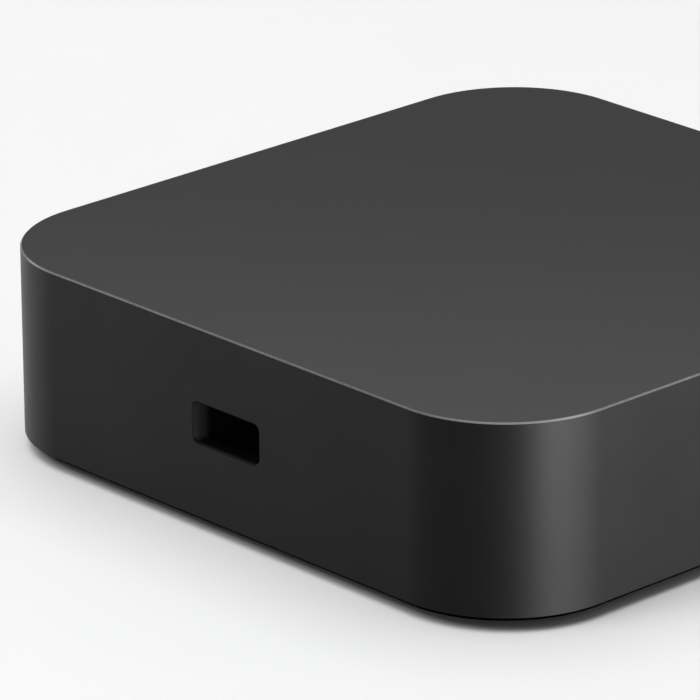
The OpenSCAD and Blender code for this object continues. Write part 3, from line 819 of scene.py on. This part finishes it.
def make_button():
    """Moulded cap with a soft rim, a shallow dish and its keeper flange."""
    low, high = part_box("pairing_button")
    centre = centre_of("pairing_button")
    collar = low.y + 0.6 * MM
    profile = [
        (2.1 * MM, low.y), (2.2 * MM, low.y + 0.1 * MM), (2.2 * MM, collar - 0.1 * MM), (2.1 * MM, collar),
        (1.58 * MM, collar), (1.5 * MM, collar + 0.08 * MM), (1.5 * MM, high.y - 0.22 * MM),
    ]
    profile += [
        ((1.28 + 0.22 * math.cos(a)) * MM, high.y + (0.22 * math.sin(a) - 0.22) * MM)
        for a in (0.4, 0.8, 1.2, math.pi / 2)
    ]
    for r in (1.12, 1.0, 0.8, 0.6, 0.4, 0.2, 0.05):
        profile.append((r * MM, high.y - 0.15 * MM * (1 - (r / 1.15) ** 2)))
    cap = bmesh.new()
    lathe(cap, profile, "y", (centre.x, centre.z), 56)
    stands_for(link_mesh("button_cap", cap, 40.0), "pairing_button", "button")


def make_light_pipe():
    low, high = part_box("light_pipe")
    centre = centre_of("light_pipe")
    inner = cad_low.y + WALL
    flange = inner + 0.6 * MM
    dome = ((0.05, 0.0), (0.3, 0.01), (0.45, 0.03), (0.55, 0.08), (0.6, 0.16))
    profile = [(r * MM, low.y + d * MM) for r, d in dome]
    profile += [
        (0.6 * MM, inner), (1.05 * MM, inner), (1.1 * MM, inner + 0.05 * MM), (1.1 * MM, flange - 0.05 * MM),
        (1.05 * MM, flange), (0.6 * MM, flange), (0.6 * MM, high.y - 0.05 * MM), (0.55 * MM, high.y),
    ]
    pipe = bmesh.new()
    lathe(pipe, profile, "y", (centre.x, centre.z), 36)
    stands_for(link_mesh("light_pipe_stem", pipe, 40.0), "light_pipe")


# ------------------------------------------------------------------ floor, light, world

def make_stage():
    bm = bmesh.new()
    bmesh.ops.create_grid(bm, x_segments=8, y_segments=8, size=3.0)
    floor = link_mesh("floor", bm)
    floor.location = (0, 0, cad_low.z)
    dress(floor, paper())
    return floor


def area_light(name, place, aim, size, radiance, only=None):
    data = bpy.data.lights.new(name, "AREA")
    data.shape = "RECTANGLE"
    data.size, data.size_y = size
    data.energy = radiance * math.pi * size[0] * size[1]
    obj = bpy.data.objects.new(name, data)
    scene.collection.objects.link(obj)
    obj.location = place
    obj.rotation_euler = (Vector(aim) - Vector(place)).to_track_quat("-Z", "Y").to_euler()
    obj.visible_camera = False
    if only is not None:
        obj.light_linking.receiver_collection = only


def linked(name, objects):
    """Collection for lights that should reach only these objects."""
    group = bpy.data.collections.new(name)
    for obj in objects:
        group.objects.link(obj)
    return group


def make_light(floor):
    world = bpy.data.worlds.new("studio")
    world.use_nodes = True
    world.node_tree.nodes["Background"].inputs["Color"].default_value = (1, 1, 1, 1)
    world.node_tree.nodes["Background"].inputs["Strength"].default_value = 0.30
    scene.world = world
    on_player = linked("on_player", [o for o in scene.objects if o.type == "MESH" and o is not floor])
    on_floor = linked("on_floor", [floor])
    middle = Vector((0, 0, 0))
    shell_mid = Vector((0, 0, 0.0075))
    rear_top = Vector((0, -0.02, cad_high.z))
    # name, place, aim, size, radiance, what it reaches. The radiances were fitted to how bright the real
    # shell and floor look, then rounded.
    lamps = (
        ("overhead", (0, 0, 1.0), middle, (1.2, 1.2), 0.45, None),
        ("back_low", (0.6, 0.65, 0.17), middle, (0.7, 0.3), 0.77, None),
        ("top_band", (0.06, 0.035, 0.08), rear_top, (0.30, 0.03), 3.4, on_player),
        ("strip_middle", (0.03, -0.42, 0.0075), shell_mid, (0.20, 0.013), 540.0, on_player),
        ("strip_left", (-0.09, -0.41, 0.0075), shell_mid, (0.10, 0.013), 690.0, on_player),
        ("strip_right", (0.20, -0.38, 0.0075), shell_mid, (0.15, 0.013), 420.0, on_player),
        ("strip_back", (-0.25, 0.45, 0.0075), shell_mid, (0.30, 0.013), 190.0, on_player),
        ("edge_light", (0.25, -0.35, 0.63), middle, (0.35, 0.25), 0.9, on_player),
        ("fill_front_left", (-0.5, -0.55, 0.32), shell_mid, (0.6, 0.3), 0.8, on_player),
        ("fill_front_right", (0.5, -0.55, 0.32), shell_mid, (0.6, 0.3), 0.8, on_player),
        ("fill_back_left", (-0.5, 0.55, 0.32), shell_mid, (0.6, 0.3), 0.5, on_player),
        ("floor_left", (-0.6, 0, 0.9), middle, (0.7, 0.7), 3.7, on_floor),
        ("floor_top", (0, 0, 1.1), middle, (1.32, 1.32), 0.90, on_floor),
    )
    for lamp in lamps:
        area_light(*lamp)
    scene.view_settings.view_transform = "Standard"
    scene.view_settings.look = "None"
    scene.view_settings.exposure = 0.0
    scene.view_settings.gamma = 1.0


# ------------------------------------------------------------------ the whole model

def dress_nodes():
    screw = plated("screw_zinc", (0.46, 0.47, 0.50), 0.3)
    chip = chip_mould()
    tin = plated("shield_tin_plate", (0.62, 0.63, 0.64), 0.3, (1, 0.08, 1))
    pad = silicone_pad()
    foil = copper_foil()
    lead = moulded("lead_jacket", (0.035, 0.035, 0.037), 0.35, 0.3, 0.003)
    port = plated("port_nickel", (0.60, 0.60, 0.61), 0.24, (1, 0.08, 1))
    port_black = moulded("port_moulding", (0.011, 0.011, 0.011), 0.5)
    gold = plated("contact_gold_plate", (0.83, 0.58, 0.22), 0.2)
    table = {
        "base_cover": moulded("base_cover_plastic", (0.020, 0.020, 0.021), 0.6, 0.16, 0.012),
        "foot_ring": rubber("foot_ring_rubber", (0.013, 0.013, 0.014)),
        "base_screws": screw, "board_screws": screw, "block_screws": screw,
        "main_board": board_mask(),
        "soc_chip": chip, "memory_chips": chip, "flash_chip": chip, "power_chip": chip,
        "shield_frame": tin, "shield_lid": tin, "wifi_module": tin,
        "soc_pad": pad, "block_pad": pad, "ceiling_pad": pad,
        "heat_block": plated("heat_block_milled", (0.70, 0.71, 0.72), 0.34, (1, 0.05, 1), 0.15),
        "antenna_right": foil, "antenna_left": foil,
        "aerial_lead_right": lead, "aerial_lead_left": lead,
        "power_coils": moulded("coil_ferrite", (0.085, 0.085, 0.09), 0.6, 0.1, 0.01, 0.3),
        "power_capacitors": plated("capacitor_can", (0.72, 0.73, 0.75), 0.22),
        "clock_crystal": plated("crystal_can", (0.66, 0.66, 0.66), 0.26),
        "board_passives": ceramic_parts(),
        "video_port_shell": port, "power_port_shell": port,
        "video_port_insulator": port_black, "power_port_tongue": port_black,
        "video_port_contacts": gold, "power_port_contacts": gold,
        "pairing_button": moulded("button_plastic", (0.006, 0.006, 0.0065), 0.5),
        "switch_plunger": moulded("plunger_plastic", (0.01, 0.01, 0.01), 0.45),
        "switch_body": plated("switch_cover", (0.6, 0.6, 0.6), 0.3, (0.08, 1, 1)),
        "status_led": moulded("led_package", (0.78, 0.76, 0.68), 0.35, 0.2, 0.003, 0.05),
        "light_pipe": frosted("light_pipe_resin", (0.022, 0.023, 0.025), 0.35, 0.2),
        "lock_plate": plated("lock_plate_oxide", (0.035, 0.035, 0.037), 0.45),
        "lock_pocket": moulded("lock_pocket_plastic", (0.004, 0.004, 0.004), 0.7),
    }
    for node, mat in table.items():
        dress(NODES[node], mat)


make_camera()
dress_nodes()
make_shell()
make_base()
make_foot()
make_all_screws()
make_video_port()
make_power_port()
make_button()
make_light_pipe()
make_light(make_stage())
